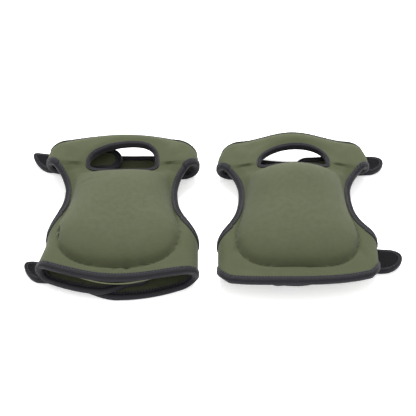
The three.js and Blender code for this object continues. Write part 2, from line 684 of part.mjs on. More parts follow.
// ---- A pad ----
function makePad(prefix, slack) {
  const form = makeForm(slack);
  const group = new THREE.Group();
  const add = (name, geometry, material) => {
    const mesh = new THREE.Mesh(geometry, material);
    mesh.name = prefix + "_" + name;
    group.add(mesh);
  };

  add("front_cover", cover(form), OLIVE);
  add("leg_lining", lining(form), LINING_GREEN);
  add("firm_foam_cushion", foam(form, 1 - FIRM_SHARE, 1), FIRM_FOAM);
  add("memory_foam_layer", foam(form, 0, 1 - FIRM_SHARE), SOFT_FOAM);
  add(
    "aperture_binding",
    binding(
      form,
      ring(APERTURE_STEPS, (turn) => aperturePoint(-turn, 0, form.archShift)),
      true,
    ),
    BINDING_GREY,
  );
  add("hem_binding", frontEdgeBinding(form, false), BINDING_GREY);
  add("top_binding", frontEdgeBinding(form, true), BINDING_GREY);
  add("inner_waist_binding", waistBinding(form, -1), BINDING_GREY);
  add("outer_waist_binding", waistBinding(form, 1), BINDING_GREY);

  for (const upper of [true, false]) {
    const level = upper ? "upper" : "lower";
    for (const long of [true, false]) {
      const name = level + (long ? "_long" : "_short");
      const w = wing(form, upper, long);
      add(name + "_fold", foldPanel(form, upper, long), OLIVE);
      add(name + "_wing", wingPanel(form, w), OLIVE);
      add(name + "_wing_binding", binding(form, wingPath(w)), BINDING_GREY);
    }
    const longWing = wing(form, upper, true);
    const shortWing = wing(form, upper, false);
    const hookFace = [SHEET + GAP, SHEET + GAP + HOOK];
    add(level + "_hook_strip", strip(form, longWing, HOOK_STRIP_START, LONG_END - 11, hookFace), HOOK_BLACK);
    add(
      level + "_loop_patch",
      strip(form, shortWing, LOOP_PATCH_END - LOOP_PATCH, LOOP_PATCH_END, [-GAP / 2 - LOOP, -GAP / 2]),
      LOOP_BLACK,
    );
    add(level + "_hook_tab", sheet(tabRows(form, longWing, upper, 0, [0, TAB_THICKNESS])), BINDING_GREY);
    const onTab = [TAB_THICKNESS + GAP, TAB_THICKNESS + GAP + HOOK];
    add(level + "_hook_patch", sheet(tabRows(form, longWing, upper, 4, onTab)), HOOK_BLACK);
  }
  return group;
}

const pair = new THREE.Group();
const rightPad = makePad("right", RIGHT_FORM);
rightPad.position.x = PAD_PITCH / 2;
const leftPad = makePad("left", LEFT_FORM);
leftPad.position.x = -PAD_PITCH / 2;
leftPad.scale.x = -1;
pair.add(leftPad, rightPad);

// The origin is the bottom centre of the pair.
const bounds = new THREE.Box3().setFromObject(pair, true);
const middle = bounds.getCenter(new THREE.Vector3());
pair.position.set(-middle.x, -middle.y, -bounds.min.z);

export default pair;
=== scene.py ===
"""A pair of wrap-round neoprene knee pads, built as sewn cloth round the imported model."""

import math

import bpy
import numpy as np
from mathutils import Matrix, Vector
from mathutils.geometry import delaunay_2d_cdt


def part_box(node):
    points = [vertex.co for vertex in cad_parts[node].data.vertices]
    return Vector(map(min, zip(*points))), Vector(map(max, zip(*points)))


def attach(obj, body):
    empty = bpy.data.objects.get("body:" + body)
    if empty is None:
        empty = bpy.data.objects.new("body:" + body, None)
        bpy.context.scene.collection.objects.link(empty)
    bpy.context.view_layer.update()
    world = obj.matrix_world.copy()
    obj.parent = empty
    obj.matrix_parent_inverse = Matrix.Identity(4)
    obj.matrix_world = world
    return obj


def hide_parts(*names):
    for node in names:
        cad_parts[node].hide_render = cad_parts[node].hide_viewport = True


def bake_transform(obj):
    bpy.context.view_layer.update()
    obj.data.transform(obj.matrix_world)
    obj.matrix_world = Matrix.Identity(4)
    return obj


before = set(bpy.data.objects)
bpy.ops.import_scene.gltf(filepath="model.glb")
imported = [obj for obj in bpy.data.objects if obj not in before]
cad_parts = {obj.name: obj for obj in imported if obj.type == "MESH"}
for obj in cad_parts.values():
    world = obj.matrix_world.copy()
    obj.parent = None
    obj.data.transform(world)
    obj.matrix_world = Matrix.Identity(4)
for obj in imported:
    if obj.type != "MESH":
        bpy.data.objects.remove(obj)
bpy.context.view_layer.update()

MM = 0.001

# ---- Sizes in millimetres, from the pad's own centre ----
# u or x runs across, with the long wings negative, and v or y along the leg.
HALF_WIDTH, SHOULDER_Y, SHOULDER_CUT = 89, 72, 22
TUCK_FROM, TUCK_TO, SHOULDER_FADE = -110, -60, 50
COVER, LINING, SHEET, TAPE, GAP = 2.5, 2.2, 5.1, 1.3, 0.4
BINDING_WIDTH, BINDING_NOSE = 6, 2
HEM_RISE_LONG, HEM_RISE_SHORT = 8, 17
TOP_Y = 114
WAIST_Y, WAIST_HALF, CUT_DEPTH, CUT_UP, CUT_DOWN = 20, 63, 44, 47, 78
CUT_CENTRE = WAIST_HALF + CUT_DEPTH
APERTURE_Y, APERTURE_HALF, APERTURE_UP, APERTURE_DOWN = 59, 39.5, 28, 9
UPPER_SQUARENESS, LOWER_SQUARENESS = 2.2, 3.4
PILLOW_TOP, PILLOW_BOTTOM, PILLOW_HALF, PILLOW_EDGE = 48, -104, 70, 4
PILLOW_UPPER, PILLOW_LOWER, PILLOW_FLATNESS, PILLOW_SHARPNESS = 5, 3.4, 4, 8
PILLOW_ROUNDING, TOP_ROUNDING = 0.75, 1.2
CREST_Y, CURL_REACH = 28, 17
ROLL, ROLL_REACH, ROLL_FADE, APERTURE_ROLL = 6, 15, 22, 3.5
SCOOP_HALF = 84
PILLOW_RISE, PILLOW_INSIDE, FOAM_SHARE, FIRM_SHARE = 21, 6, 0.9, 0.6
PILLOW_Y, PILLOW_REACH = (PILLOW_TOP + PILLOW_BOTTOM) / 2, (PILLOW_TOP - PILLOW_BOTTOM) / 2
LOWER_LIP_RISE, UPPER_LIP_Y, UPPER_LIP_DROP = 24, 104, 11
LONG_END, LONG_CAP, SHORT_CAP, SHORT_NARROWS = 87, 5, 15, 60
SHORT_ENDS = {"upper": (4, 17), "lower": (-38, 19)}
LOWER_SHORT_Y, UPPER_TAB_HALF = -92, 13
TAB_START, TAB_BEND, TAB_THICKNESS, TAB_EASE = 91, 27, 4, 5
HOOK, LOOP, HOOK_STRIP_START, STRIP_MARGIN = 1.2, 1.2, 44, 3
LOOP_PATCH, LOOP_PATCH_END = 46, 68
LONG_LIFT = TAPE
SHORT_LIFT = LONG_LIFT + SHEET + TAPE + GAP + TAPE

# Creases of the cover: from (x, y) to (x, y), half width and height, in millimetres.
RIGHT_CREASES = [
    ((-80, -92), (-60, -64), 5, -1.2), ((82, -96), (62, -66), 5, -1.3), ((-70, -112), (-40, -120), 4, 0.8),
    ((-52, 66), (-70, 92), 7, 1.2), ((52, 66), (68, 94), 7, 1.2), ((-42, 52), (-64, 46), 3.4, -0.4),
    ((42, 52), (64, 46), 3.4, -0.4), ((8, -116), (14, -100), 4, -0.9),
]
LEFT_CREASES = [
    ((-80, -90), (-58, -62), 5, -1.6), ((82, -96), (64, -70), 5, -1.1), ((-14, -113), (-8, -98), 3.5, -2.4),
    ((4, -114), (0, -100), 3.5, -1.2), ((44, 54), (72, 48), 3.2, -0.7), ((42, 47), (64, 38), 3.0, -0.6),
    ((-44, 52), (-70, 46), 3.2, -0.5), ((-50, 66), (-72, 90), 8, 1.6), ((50, 70), (70, 92), 8, 1.8),
    ((48, 62), (78, 68), 3.4, -0.6),
]
RIGHT_SLACK = dict(
    hem=33, middle=40, crest=47, sill=46, arch=39, top=41, curl_centre=13, fold_curl=6, arch_shift=6,
    fold=29, waist=23, hem_y=-126, lip_y=-104, upper_tab=86, lower_tab=-70, lean=0, tuck=0,
    upper_tab_end=112, lower_tab_end=120, tab_rise=8, seam_gap=(-8, 10), scoop=16, top_drop=12,
    short_end=70, lower_half=16, lining_sag=0, upper_skew=0.05, lower_skew=-0.1, taper=0.15,
    creases=RIGHT_CREASES,
)
LEFT_SLACK = dict(
    hem=32, middle=36, crest=35.5, sill=35, arch=42, top=39, curl_centre=18, fold_curl=7, arch_shift=-11,
    fold=38, waist=26, hem_y=-121, lip_y=-125, upper_tab=90, lower_tab=-87, lean=0.2, tuck=9,
    upper_tab_end=112, lower_tab_end=108, tab_rise=17, seam_gap=(-16, 2), scoop=6, top_drop=22,
    short_end=86, lower_half=13, lining_sag=11, upper_skew=0.3, lower_skew=0.4, taper=0.3,
    creases=LEFT_CREASES,
)


# ---- Small helpers ----
def unit(v, a, b):
    return np.clip((v - a) / (b - a), 0, 1)


def smooth(t):
    return t * t * (3 - 2 * t)


def bump(q):
    return np.where(np.abs(q) < 1, (1 - q * q) ** 2, 0)


def lerp(a, b, t):
    return a + (b - a) * t


def signed_power(q, e):
    return np.sign(q) * np.abs(q) ** e


def profile(y, knots):
    value = knots[0][1] + 0 * y
    for (low, a), (high, b) in zip(knots, knots[1:]):
        value = value + (b - a) * smooth(unit(y, low, high))
    return value


def side_share(u):
    return np.minimum(1, (u / HALF_WIDTH) ** 2)


def inner_edge(upper, u):
    reach = np.sqrt(1 - np.clip((CUT_CENTRE - np.abs(u)) / CUT_DEPTH, 0, 1) ** 2)
    return WAIST_Y + CUT_UP * reach if upper else WAIST_Y - CUT_DOWN * reach


def cut_half(v, inset):
    """Half width of the front at the knee cut-outs, less `inset`. Away from them it has no limit."""
    q = (v - WAIST_Y) / (np.where(v > WAIST_Y, CUT_UP, CUT_DOWN) + inset)
    half = CUT_CENTRE - (CUT_DEPTH + inset) * np.sqrt(np.maximum(0, 1 - q * q))
    return np.where(np.abs(q) < 1, half, np.inf)


def aperture_path(shift, steps=150):
    turn = -np.linspace(0, 2 * math.pi, steps, endpoint=False)
    high = np.sin(turn) > 0
    reach = np.where(high, APERTURE_UP, APERTURE_DOWN)
    power = 2 / np.where(high, UPPER_SQUARENESS, LOWER_SQUARENESS)
    x = APERTURE_HALF * signed_power(np.cos(turn), power) + shift * np.maximum(0, np.sin(turn)) ** 2
    return np.stack([x, APERTURE_Y + reach * signed_power(np.sin(turn), power)], 1)


def pillow_half(y):
    room = cut_half(y, PILLOW_EDGE)
    return (PILLOW_HALF**-PILLOW_SHARPNESS + room**-PILLOW_SHARPNESS) ** (-1 / PILLOW_SHARPNESS)


def squareness(above):
    return np.where(above, PILLOW_UPPER, PILLOW_LOWER)


def pillow_share(x, y):
    """0 in the cushion's middle and 1 on its seam."""
    across, along = np.abs(x / pillow_half(y)), np.abs((y - PILLOW_Y) / PILLOW_REACH)
    power = squareness(y > PILLOW_Y)
    return (across**power + along**power) ** (1 / power)


def pillow_path(share, steps):
    turn = np.linspace(0, 2 * math.pi, steps, endpoint=False)
    power = 2 / squareness(np.sin(turn) > 0)
    y = PILLOW_Y + PILLOW_REACH * share * signed_power(np.sin(turn), power)
    return np.stack([pillow_half(y) * share * signed_power(np.cos(turn), power), y], 1)


def fullness(x, y):
    rounding = lerp(PILLOW_ROUNDING, TOP_ROUNDING, unit(y, PILLOW_Y, PILLOW_TOP))
    return (1 - np.minimum(1, pillow_share(x, y)) ** PILLOW_FLATNESS) ** rounding


# ---- The form: how the flat pattern of one pad lies in space ----
class Form:
    def __init__(self, prefix, side, slack):
        self.prefix, self.side = prefix, side
        self.__dict__.update(slack)
        low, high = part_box(prefix + "_aperture_binding")
        self.y = (low.y + high.y) / 2 / MM - APERTURE_Y - (APERTURE_UP - APERTURE_DOWN) / 2
        low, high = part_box(prefix + "_firm_foam_cushion")
        self.x = (low.x + high.x) / 2 / MM

    def hem_edge(self, u):
        return self.hem_y + np.where(u < 0, HEM_RISE_LONG, HEM_RISE_SHORT) * side_share(u)

    def top_edge(self, u):
        return TOP_Y - self.top_drop * side_share(u)

    def front_edge(self, upper):
        return self.top_edge if upper else self.hem_edge

    def sunk(self, x):
        """How far the upper wings lie lower under the aperture."""
        return self.scoop * bump(x / SCOOP_HALF)

    def lip_edge(self, upper, x):
        if upper:
            return UPPER_LIP_Y - UPPER_LIP_DROP * side_share(x) - self.sunk(x)
        return self.lip_y + LOWER_LIP_RISE * side_share(x)

    def centre(self, y):
        knots = [(self.hem_y, self.hem), (PILLOW_Y, self.middle), (CREST_Y, self.crest)]
        knots += [(APERTURE_Y - APERTURE_DOWN, self.sill), (APERTURE_Y + APERTURE_UP, self.arch)]
        return profile(y, knots + [(TOP_Y, self.top)])

    def fold_height(self, y):
        reach = np.where(y > WAIST_Y, CUT_UP, CUT_DOWN)
        return self.fold - (self.fold - self.waist) * bump((y - WAIST_Y) / reach)

    def radius(self, lift, y):
        return (self.fold_height(y) - lift) / 2

    def tucked(self, y):
        return np.where(y < WAIST_Y, self.tuck * smooth(unit(y, TUCK_FROM, TUCK_TO)), 0)

    def fold_start(self, long, y):
        drawn = SHOULDER_CUT * unit(y, SHOULDER_Y, TOP_Y) ** 2 + np.where(long, 0, self.tucked(y))
        return HALF_WIDTH - drawn - self.radius(np.where(long, LONG_LIFT, SHORT_LIFT), y)

    def crossing(self, long, edge):
        u = HALF_WIDTH
        for _ in range(12):
            u = float(self.fold_start(long, edge(-u if long else u)))
        return u

    def bend_radius(self, long):
        return (self.fold - np.where(long, LONG_LIFT, SHORT_LIFT)) / 2

    def bend_start(self, long):
        return HALF_WIDTH - self.bend_radius(long)

    def bend_end(self, long):
        return self.bend_start(long) + math.pi * self.bend_radius(long)

    def curl(self, u, v):
        """How far the upper edge curls down, less so at the folds."""
        share = side_share(u)
        depth = lerp(self.curl_centre, self.fold_curl, bump(1 - share))
        return depth * unit(v + self.top_drop * share, TOP_Y - CURL_REACH, TOP_Y + BINDING_NOSE) ** 2

    def roll(self, x, y):
        """How far the bound edges of the knee cut-outs and the aperture roll down."""
        reach = np.where(y > WAIST_Y, CUT_UP, CUT_DOWN)
        ring = np.hypot((np.abs(x) - CUT_CENTRE) / CUT_DEPTH, (y - WAIST_Y) / reach)
        inside_by = np.maximum(0, ring - 1) * CUT_DEPTH
        faded = smooth(unit(self.fold_start(x < 0, y) - np.abs(x), 0, ROLL_FADE))
        waist = ROLL * smooth(unit(ROLL_REACH - inside_by, 0, ROLL_REACH)) * faded
        moved_x = x - self.arch_shift * smooth(unit(y, APERTURE_Y, APERTURE_Y + APERTURE_UP))
        high = y > APERTURE_Y
        across, along = APERTURE_HALF, np.where(high, APERTURE_UP, APERTURE_DOWN)
        power = np.where(high, UPPER_SQUARENESS, LOWER_SQUARENESS)
        ring = (np.abs(moved_x / across) ** power + np.abs((y - APERTURE_Y) / along) ** power) ** (1 / power)
        off = np.maximum(0, ring - 1) * np.where(high, 30, 9)
        return waist + APERTURE_ROLL * smooth(unit(12 - off, 0, 12))

    def base(self, x, y):
        edge = self.fold_height(y)
        q = np.clip(x / self.fold_start(x < 0, y), -1, 1)
        lean = self.lean * unit(y, PILLOW_Y, APERTURE_Y)
        rise = (self.centre(y) - edge) * bump(q + lean * (1 - q * q))
        return edge + rise - self.curl(x, y) - self.roll(x, y)

    def crown(self, x, y):
        return self.base(x, y) + PILLOW_RISE * fullness(x, y)

    def tab_raise(self, x):
        return self.tab_rise * (np.maximum(0, x - TAB_START) / TAB_BEND) ** 2

    def under(self, long, x):
        return self.bend_end(long) + self.bend_start(long) + (x if long else -x)

    def place_of(self, long, u):
        return (u - self.bend_end(long) - self.bend_start(long)) * (1 if long else -1)

    def local(self, u, v, depth):
        """Points of the cloth, `depth` below its outer face, in the pad's own millimetres."""
        u, v, depth = (np.asarray(q, float) for q in np.broadcast_arrays(u, v, depth))
        side = np.where(u < 0, -1, 1)
        long = side < 0
        lift = np.where(long, LONG_LIFT, SHORT_LIFT)
        r, start, end = self.radius(lift, v), self.fold_start(long, v), self.bend_end(long)
        flat = np.abs(u) <= start
        turn = math.pi * unit(np.abs(u), start, end)
        past = np.maximum(np.abs(u) - end, 0)
        drawn = (start - self.bend_start(long)) * (1 - smooth(unit(past, 0, SHOULDER_FADE)))
        x_under = self.bend_start(long) - past + drawn
        z_under = lift + depth + np.where(long, self.tab_raise(-x_under), 0)
        bent = past <= 0
        x = side * np.where(bent, start + (r - depth) * np.sin(turn), x_under)
        rise = r + (r - depth) * np.cos(turn)
        curled = self.curl(start, v) * smooth(unit(rise, SHEET + TAPE, 2 * r - SHEET - TAPE))
        z = np.where(bent, lift + rise - curled, z_under)
        z = np.where(flat, self.crown(u, v) - depth, z)
        return np.stack([np.where(flat, u, x), v, z], -1)

    def place(self, local):
        """The pad's own millimetres to metres in the row frame."""
        return (np.asarray(local) * [self.side, 1, 1] + [self.x, self.y, 0]) * MM

    def at(self, u, v, depth):
        return self.place(self.local(u, v, depth))


# ---- Materials ----
class Nodes:
    """Short calls for building one material's nodes."""

    def __init__(self, name):
        self.material = bpy.data.materials.new(name)
        self.material.use_nodes = True
        self.tree = self.material.node_tree
        self.shader = next(n for n in self.tree.nodes if n.type == "BSDF_PRINCIPLED")

    def add(self, kind, inputs=(), **settings):
        node = self.tree.nodes.new("ShaderNode" + kind)
        for key, value in settings.items():
            setattr(node, key, value)
        for key, value in dict(inputs).items():
            self.put(value, node.inputs[key])
        return node

    def put(self, value, socket):
        if isinstance(value, bpy.types.NodeSocket):
            self.tree.links.new(value, socket)
        else:
            socket.default_value = value

    def cloth(self):
        """The place on the flat pattern, in metres, kept on each vertex."""
        return self.add("Attribute", attribute_name="cloth").outputs["Vector"]

    def noise(self, vector, scale, detail=3.0):
        inputs = {"Vector": vector, "Scale": scale, "Detail": detail}
        return self.add("TexNoise", inputs).outputs["Fac"]

    def wave(self, vector, pitch, direction="X", distortion=0.0):
        scale = math.pi / 10 / pitch
        inputs = {"Vector": vector, "Scale": scale, "Distortion": distortion, "Detail Scale": 1.0}
        return self.add("TexWave", inputs, bands_direction=direction).outputs["Fac"]

    def math(self, operation, a, b=0.0):
        node = self.add("Math", {0: a, 1: b}, operation=operation)
        return node.outputs[0]

    def ramp(self, value, low, high, a, b):
        inputs = {"Value": value, "From Min": low, "From Max": high, "To Min": a, "To Max": b}
        return self.add("MapRange", inputs).outputs["Result"]

    def mix(self, share, a, b):
        node = self.add("Mix", data_type="RGBA")
        self.put(share, node.inputs[0])
        self.put(a, node.inputs[6])
        self.put(b, node.inputs[7])
        return node.outputs[2]

    def finish(self, colour, height, distance, strength=0.6, roughness=0.85, sheen=0.0, **fixed):
        self.put(colour, self.shader.inputs["Base Color"])
        self.put(roughness, self.shader.inputs["Roughness"])
        self.shader.inputs["Sheen Weight"].default_value = sheen
        self.shader.inputs["Sheen Roughness"].default_value = 0.45
        self.shader.inputs["Specular IOR Level"].default_value = 0.16
        for key, value in fixed.items():
            self.shader.inputs[key].default_value = value
        bumped = self.add("Bump", {"Height": height, "Distance": distance, "Strength": strength})
        self.tree.links.new(bumped.outputs["Normal"], self.shader.inputs["Normal"])
        return self.material


def shade(colour, k):
    return (*(min(1, c * k) for c in colour[:3]), 1)


def knit_material(name, colour, fuzz=1.0):
    """Jersey over neoprene: fine ribs and stitches, heather, slow mottling and rubbed places."""
    n = Nodes(name)
    cloth = n.cloth()
    slow = n.ramp(n.noise(cloth, 45, 4), 0.3, 0.7, 0, 1)
    heather = n.ramp(n.noise(cloth, 1500, 2), 0.3, 0.7, 0, 1)
    body = n.mix(slow, shade(colour, 0.93), shade(colour, 1.07))
    stretched = n.add("Mapping", {"Vector": cloth, "Scale": (0.3, 1, 1)}).outputs[0]
    streaks = n.ramp(n.noise(stretched, 420, 4), 0.3, 0.7, 0, 1)
    body = n.mix(n.math("MULTIPLY", streaks, 0.35), body, shade(colour, 1.22))
    body = n.mix(n.math("MULTIPLY", heather, 0.35), body, shade(colour, 0.66))
    rub = n.add("Attribute", attribute_name="rub").outputs["Fac"]
    patchy = n.math("MULTIPLY", rub, n.ramp(n.noise(cloth, 160, 5), 0.35, 0.65, 0.2, 1))
    grey = sum(colour[:3]) / 3
    worn = tuple(lerp(c, grey, 0.25) * 1.28 for c in colour[:3])
    body = n.mix(n.math("MULTIPLY", patchy, 0.5), body, (*worn, 1))
    ribs = n.wave(cloth, 0.0009, "X", 0.4)
    rows = n.wave(cloth, 0.0007, "Y", 0.4)
    knit = n.math("ADD", n.math("MULTIPLY", ribs, rows), n.math("MULTIPLY", heather, 0.5))
    rough = n.ramp(n.noise(cloth, 90, 3), 0.3, 0.7, 0.8, 0.95)
    return n.finish(body, knit, 0.00025, 0.6 * fuzz, rough, 0.05)


def tape_material(name, colour, gloss=0.62):
    """Woven tape: a fine twill across the tape, with a paler nose and lips as a painted highlight."""
    n = Nodes(name)
    cloth = n.cloth()
    tilted = n.add("Mapping", {"Vector": cloth, "Rotation": (0, 0, math.radians(38))}).outputs[0]
    twill = n.wave(tilted, 0.0008, "X", 0.6)
    ends = n.wave(cloth, 0.0005, "X", 0.3)
    slow = n.ramp(n.noise(cloth, 120, 4), 0.3, 0.7, 0, 1)
    body = n.mix(slow, shade(colour, 0.8), shade(colour, 1.25))
    # Painted highlight: the raised lines of the twill are drawn paler.
    body = n.mix(n.math("MULTIPLY", twill, 0.3), body, shade(colour, 1.7))
    # Painted highlight: the tape's rolled nose and its lips, as marked on each vertex, are drawn paler.
    rub = n.add("Attribute", attribute_name="rub").outputs["Fac"]
    body = n.mix(n.math("MULTIPLY", rub, 0.3), body, shade(colour, 2.2))
    weave = n.math("ADD", twill, n.math("MULTIPLY", ends, 0.5))
    rough = n.ramp(n.noise(cloth, 700, 2), 0.3, 0.7, gloss - 0.1, gloss + 0.12)
    return n.finish(body, weave, 0.0002, 0.6, rough, 0.04)


def thread_material(name, colour):
    n = Nodes(name)
    place = n.add("TexCoord").outputs["Object"]
    twist = n.wave(place, 0.0004, "DIAGONAL", 1.0)
    # Painted light: the thread is drawn paler on the raised ridges of its twist, as painted highlight, and
    # darker between them, as painted shade.
    body = n.mix(n.math("MULTIPLY", twist, 0.5), shade(colour, 0.7), shade(colour, 1.4))
    return n.finish(body, twist, 0.0001, 0.5, 0.55, 0.1)


def pile_material(name, colour, pitch, sheen):
    """Hook or loop tape: a close pile over a woven ground, drawn darker in the low gaps between its cells as
    painted shade and paler where its fuzz stands high as painted highlight.
    """
    n = Nodes(name)
    cloth = n.cloth()
    cells = n.add("TexVoronoi", {"Vector": cloth, "Scale": 1 / pitch}).outputs["Distance"]
    fuzz = n.noise(cloth, 900, 4)
    body = n.mix(n.ramp(cells, 0.1, 0.6, 0, 1), shade(colour, 1.8), shade(colour, 0.5))
    body = n.mix(n.math("MULTIPLY", fuzz, 0.5), body, shade(colour, 2.2))
    height = n.math("SUBTRACT", n.math("MULTIPLY", fuzz, 0.7), cells)
    return n.finish(body, height, 0.0006, 0.7, n.ramp(fuzz, 0.3, 0.7, 0.75, 0.98), sheen)


def foam_material(name, colour):
    n = Nodes(name)
    place = n.add("TexCoord").outputs["Object"]
    pores = n.add("TexVoronoi", {"Vector": place, "Scale": 1100}).outputs["Distance"]
    slow = n.ramp(n.noise(place, 50, 4), 0.3, 0.7, 0, 1)
    body = n.mix(slow, shade(colour, 0.88), shade(colour, 1.1))
    # Painted shade: the foam is drawn darker down in its pores.
    body = n.mix(n.ramp(pores, 0.0, 0.35, 0.6, 0), body, shade(colour, 0.5))
    return n.finish(body, pores, 0.0004, 0.5, n.ramp(slow, 0, 1, 0.82, 0.95))


OLIVE = (0.056, 0.0635, 0.0335)
# The lining's pale green is partly its own colour and partly painted light, raised so the lining in the mouth
# under the hem looks lit.
LINING_GREEN_WITH_PAINTED_LIGHT = (0.110, 0.120, 0.068)
CHARCOAL = (0.0060, 0.0058, 0.0080)
MATERIALS = {
    "olive_neoprene": knit_material("olive_neoprene_knit", OLIVE),
    "green_lining": knit_material("green_lining_knit", LINING_GREEN_WITH_PAINTED_LIGHT, 1.4),
    "binding_tape": tape_material("charcoal_binding_tape", CHARCOAL),
    "hook_tape": pile_material("black_hook_tape", (0.0045, 0.0045, 0.0055), 0.0011, 0.03),
    "loop_tape": pile_material("black_loop_tape", (0.009, 0.009, 0.011), 0.0008, 0.2),
    "firm_foam": foam_material("firm_foam_closed_cell", (0.024, 0.025, 0.027)),
    "memory_foam": foam_material("memory_foam_open_cell", (0.80, 0.73, 0.54)),
}
TAPE_THREAD = thread_material("grey_tape_thread", (0.050, 0.050, 0.058))
OLIVE_THREAD = thread_material("dark_olive_thread", (0.050, 0.056, 0.034))


# ---- Meshes ----
class Shape:
    """Points in metres with their place on the cloth, and faces, each with a material number."""

    def __init__(self):
        self.points, self.cloth, self.faces, self.slots, self.rub, self.count = [], [], [], [], [], 0

    def add(self, points, cloth, faces, slot=0, rub=0.0):
        faces = np.asarray(faces)
        self.points.append(np.asarray(points, float).reshape(-1, 3))
        n = len(self.points[-1])
        self.cloth.append(np.broadcast_to(np.asarray(cloth, float), (n, 3)))
        self.rub.append(np.broadcast_to(np.asarray(rub, float), (n,)))
        self.faces.extend((faces + self.count).tolist())
        self.slots.extend([slot] * len(faces))
        self.count += n

    def make(self, name, materials, sharp=40):
        points, cloth = np.concatenate(self.points), np.concatenate(self.cloth)
        first = np.array([f[:3] for f in self.faces])
        last = np.array([[f[0], f[-2], f[-1]] for f in self.faces if len(f) > 3] or [[0, 0, 0]])
        triangles = np.concatenate([first, last])
        a, b, c = (points[triangles[:, k]] for k in range(3))
        if (a * np.cross(b, c)).sum() < 0:
            self.faces = [f[::-1] for f in self.faces]
        mesh = bpy.data.meshes.new(name)
        mesh.from_pydata(points.tolist(), [], self.faces)
        vertex_data = (
            ("cloth", "FLOAT_VECTOR", "vector", cloth * MM),
            # Wear on the cover's crown, and a painted highlight on the tapes' noses and lips.
            ("rub", "FLOAT", "value", np.concatenate(self.rub)),
        )
        for key, kind, field, values in vertex_data:
            attribute = mesh.attributes.new(key, kind, "POINT")
            attribute.data.foreach_set(field, values.astype(np.float32).ravel())
        for material in materials:
            mesh.materials.append(material)
        mesh.polygons.foreach_set("material_index", self.slots)
        mesh.polygons.foreach_set("use_smooth", [True] * len(self.faces))
        mesh.set_sharp_from_angle(angle=math.radians(sharp))
        mesh.update()
        obj = bpy.data.objects.new(name, mesh)
        bpy.context.scene.collection.objects.link(obj)
        return obj


def inside(points, loops):
    """Even-odd test of points against closed loops."""
    odd = np.zeros(len(points), bool)
    for loop in loops:
        for a, b in zip(loop, np.roll(loop, -1, 0)):
            spans = (a[1] > points[:, 1]) != (b[1] > points[:, 1])
            if not spans.any():
                continue
            x = a[0] + (points[:, 1] - a[1]) * (b[0] - a[0]) / (b[1] - a[1] if b[1] != a[1] else 1)
            odd ^= spans & (points[:, 0] < x)
    return odd


def triangulate(loops, spacing):
    """Points and triangles that fill the first loop, less the others."""
    low, high = loops[0].min(0), loops[0].max(0)
    rows = []
    for k, y in enumerate(np.arange(low[1], high[1], spacing * math.sqrt(3) / 2)):
        x = np.arange(low[0] + (k % 2) * spacing / 2, high[0], spacing)
        rows.append(np.stack([x, np.full_like(x, y)], 1))
    points = np.concatenate(rows)
    points = points[inside(points, loops)]
    edge = np.concatenate(loops)
    far = np.concatenate([
        np.sqrt(((part[:, None] - edge[None]) ** 2).sum(-1).min(1))
        for part in np.array_split(points, max(1, len(points) // 1500))
    ])
    points = np.concatenate([edge, points[far > 0.6 * spacing]])
    edges, start = [], 0
    for loop in loops:
        edges += [(start + i, start + (i + 1) % len(loop)) for i in range(len(loop))]
        start += len(loop)
    made = delaunay_2d_cdt([Vector(p) for p in points], edges, [], 0, 1e-5)
    flat = np.array([tuple(p) for p in made[0]])
    triangles = np.array(made[2])
    return flat, triangles[inside(flat[triangles].mean(1), loops)]


def rim_of(triangles):
    """The directed edges that only one triangle has."""
    edges = np.concatenate([triangles[:, [0, 1]], triangles[:, [1, 2]], triangles[:, [2, 0]]])
    known = set(map(tuple, edges.tolist()))
    return np.array([e for e in edges.tolist() if (e[1], e[0]) not in known])


def sheet_shape(flat, triangles, outer, inner, rub=0.0, layer=0.0):
    """A closed sheet between two layers of points over one triangulation."""
    n, rim = len(flat), rim_of(triangles)
    faces = np.concatenate([triangles, triangles[:, ::-1] + n])
    shape = Shape()
    cloth = np.column_stack([flat, np.full(n, layer)])
    both = np.concatenate([cloth, cloth - [0, 0, SHEET]])
    rubs = np.concatenate([np.broadcast_to(rub, (n,)), np.zeros(n)])
    shape.add(np.concatenate([outer, inner]), both, faces, 0, rubs)
    sides = np.concatenate([rim[:, [1, 0, 0]], rim[:, [1, 0, 1]]])
    sides[: len(rim), 2] += n
    sides[len(rim) :, 1] += n
    sides[len(rim) :, 2] += n
    shape.faces.extend(sides.tolist())
    shape.slots.extend([0] * len(sides))
    return shape


# ---- Paths on the flat pattern, with the panel on their left ----
def even(path, step, closed=False):
    """The path again with points about `step` apart."""
    line = np.concatenate([path, path[:1]]) if closed else path
    along = np.concatenate([[0], np.cumsum(np.linalg.norm(np.diff(line, axis=0), axis=1))])
    count = max(2, int(round(along[-1] / step)) + (0 if closed else 1))
    at = np.linspace(0, along[-1], count, endpoint=not closed)
    return np.stack([np.interp(at, along, line[:, k]) for k in (0, 1)], 1)


def outwards(path, closed, soften=0):
    """Unit directions out of the panel. The ends of an open path are cut along the leg."""
    if closed:
        along = np.roll(path, -1, 0) - np.roll(path, 1, 0)
    else:
        along = np.gradient(path, axis=0)
    along /= np.linalg.norm(along, axis=1)[:, None]
    for _ in range(soften):
        if closed:
            along = (np.roll(along, 1, 0) + along + np.roll(along, -1, 0)) / 3
        else:
            along[1:-1] = (along[:-2] + along[1:-1] + along[2:]) / 3
    along /= np.linalg.norm(along, axis=1)[:, None]
    if not closed:
        for k in (0, -1):
            along[k] = [np.sign(along[k][0]), 0]
    return np.stack([along[:, 1], -along[:, 0]], 1)


TAPE_STEP = 1.6
SECTION_HALF = 2.55  # half the thickness of the cloth that the two sections are drawn for
OUTER_SECTION = [
    (-6.0, 0.1), (-5.9, -0.7), (-5.3, -1.1), (-4.3, -1.05), (-3.2, -1.2), (-1.9, -1.4), (-0.4, -1.45),
    (0.8, -1.05), (1.6, -0.1), (2.0, 1.2), (2.1, 2.55),
]
INNER_SECTION = [(1.2, 2.55), (1.0, 1.4), (0.5, 0.45), (-0.6, 0.02), (-3.2, -0.05), (-5.5, -0.02)]


